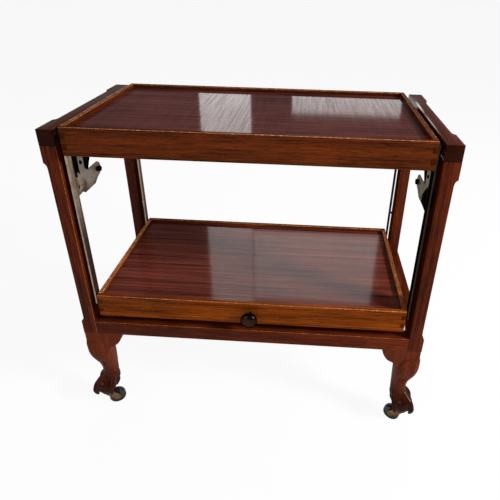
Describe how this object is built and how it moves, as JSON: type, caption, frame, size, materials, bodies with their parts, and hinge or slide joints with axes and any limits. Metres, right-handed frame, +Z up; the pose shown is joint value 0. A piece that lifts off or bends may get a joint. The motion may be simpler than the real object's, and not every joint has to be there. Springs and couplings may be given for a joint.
{
  "type": "folding serving trolley",
  "caption": "Mahogany tea trolley on claw-and-ball legs with castors; its lower tray swings up on steel arms level with the upper tray.",
  "frame": {"origin": "on the floor, under the middle of the whole object with the tray down", "axes": "+X to the right seen from the front, +Y to the rear, away from the pull knob, +Z up"},
  "size_m": [0.7794, 0.4198, 0.726],
  "materials": {
    "frame_wood": "polished dark mahogany",
    "tray_wood": "polished mahogany",
    "tray_panel": "high gloss polish",
    "steel": "satin",
    "arm_steel": "worn satin",
    "catch_black": "satin black paint",
    "button_black": "matt",
    "knob_bronze": "dark bronze",
    "castor_black": "worn satin",
    "castor_metal": "satin"
  },
  "bodies": {
    "frame": {"post_front_right": "frame_wood", "post_front_left": "frame_wood", "post_rear_right": "frame_wood", "post_rear_left": "frame_wood", "top_rail_right": "frame_wood", "top_rail_left": "frame_wood", "bottom_side_rail_right": "frame_wood", "bottom_side_rail_left": "frame_wood", "bottom_rail_front": "frame_wood", "bottom_rail_rear": "frame_wood", "leg_front_left": "frame_wood", "leg_front_right": "frame_wood", "leg_rear_left": "frame_wood", "leg_rear_right": "frame_wood", "top_tray_front_board": "tray_wood", "top_tray_rear_board": "tray_wood", "top_tray_left_board": "tray_wood", "top_tray_right_board": "tray_wood", "top_tray_panel": "tray_panel", "upper_pivot_stud_front_right": "steel", "upper_pivot_stud_front_left": "steel", "upper_pivot_stud_rear_right": "steel", "upper_pivot_stud_rear_left": "steel", "rest_stop_right": "steel", "rest_stop_left": "steel", "catch_plate_right": "catch_black", "catch_plate_left": "catch_black", "castor_socket_front_left": "castor_metal", "castor_socket_front_right": "castor_metal", "castor_socket_rear_left": "castor_metal", "castor_socket_rear_right": "castor_metal"},
    "front_arms": {"arm_front_right": "arm_steel", "arm_front_left": "arm_steel"},
    "rear_arms": {"arm_rear_right": "arm_steel", "arm_rear_left": "arm_steel"},
    "lower_tray": {"lower_tray_front_board": "tray_wood", "lower_tray_rear_board": "tray_wood", "lower_tray_left_board": "tray_wood", "lower_tray_right_board": "tray_wood", "lower_tray_panel": "tray_panel", "knob": "knob_bronze", "lower_pivot_plate_front_right": "steel", "lower_pivot_plate_front_left": "steel", "lower_pivot_plate_rear_right": "steel", "lower_pivot_plate_rear_left": "steel"},
    "catch_right": {"catch_lever_right": "arm_steel", "catch_button_right": "button_black"},
    "catch_left": {"catch_lever_left": "arm_steel", "catch_button_left": "button_black"},
    "swivel_front_left": {"castor_fork_front_left": "castor_metal"},
    "wheel_front_left": {"castor_wheel_front_left": "castor_black"},
    "swivel_front_right": {"castor_fork_front_right": "castor_metal"},
    "wheel_front_right": {"castor_wheel_front_right": "castor_black"},
    "swivel_rear_left": {"castor_fork_rear_left": "castor_metal"},
    "wheel_rear_left": {"castor_wheel_rear_left": "castor_black"},
    "swivel_rear_right": {"castor_fork_rear_right": "castor_metal"},
    "wheel_rear_right": {"castor_wheel_rear_right": "castor_black"}
  },
  "joints": [
    {"name": "fold", "type": "hinge", "parent": "frame", "child": "front_arms", "pos_m": [0, -0.16805, 0.709], "axis": [-1, 0, 0], "range_deg": [0, 89.1]},
    {"name": "rear_arm_swing", "type": "hinge", "parent": "frame", "child": "rear_arms", "pos_m": [0, 0.17195, 0.687], "axis": [-1, 0, 0], "range_deg": [0, 89.1]},
    {"name": "tray_leveling", "type": "hinge", "parent": "front_arms", "child": "lower_tray", "pos_m": [0, -0.16805, 0.329], "axis": [-1, 0, 0], "range_deg": [-89.1, 0]},
    {"name": "catch_right_turn", "type": "hinge", "parent": "frame", "child": "catch_right", "pos_m": [0.3454, -0.11605, 0.631], "axis": [-1, 0, 0], "range_deg": [0, 9]},
    {"name": "catch_left_turn", "type": "hinge", "parent": "frame", "child": "catch_left", "pos_m": [-0.3454, -0.11605, 0.631], "axis": [-1, 0, 0], "range_deg": [0, 9]},
    {"name": "swivel_front_left_turn", "type": "hinge", "parent": "frame", "child": "swivel_front_left", "pos_m": [-0.364, -0.16805, 0.044], "axis": [0, 0, 1], "continuous": true},
    {"name": "wheel_front_left_roll", "type": "hinge", "parent": "swivel_front_left", "child": "wheel_front_left", "pos_m": [-0.34668, -0.15805, 0.02], "axis": [-0.5, 0.866, 0], "continuous": true},
    {"name": "swivel_front_right_turn", "type": "hinge", "parent": "frame", "child": "swivel_front_right", "pos_m": [0.364, -0.16805, 0.044], "axis": [0, 0, 1], "continuous": true},
    {"name": "wheel_front_right_roll", "type": "hinge", "parent": "swivel_front_right", "child": "wheel_front_right", "pos_m": [0.34668, -0.15805, 0.02], "axis": [-0.5, -0.866, 0], "continuous": true},
    {"name": "swivel_rear_left_turn", "type": "hinge", "parent": "frame", "child": "swivel_rear_left", "pos_m": [-0.364, 0.18395, 0.044], "axis": [0, 0, 1], "continuous": true},
    {"name": "wheel_rear_left_roll", "type": "hinge", "parent": "swivel_rear_left", "child": "wheel_rear_left", "pos_m": [-0.34668, 0.19395, 0.02], "axis": [-0.5, 0.866, 0], "continuous": true},
    {"name": "swivel_rear_right_turn", "type": "hinge", "parent": "frame", "child": "swivel_rear_right", "pos_m": [0.364, 0.18395, 0.044], "axis": [0, 0, 1], "continuous": true},
    {"name": "wheel_rear_right_roll", "type": "hinge", "parent": "swivel_rear_right", "child": "wheel_rear_right", "pos_m": [0.34668, 0.19395, 0.02], "axis": [-0.5, -0.866, 0], "continuous": true}
  ],
  "couplings": [
    {"joint": "rear_arm_swing", "follows": "fold", "ratio": 1},
    {"joint": "tray_leveling", "follows": "fold", "ratio": -1}
  ]
}
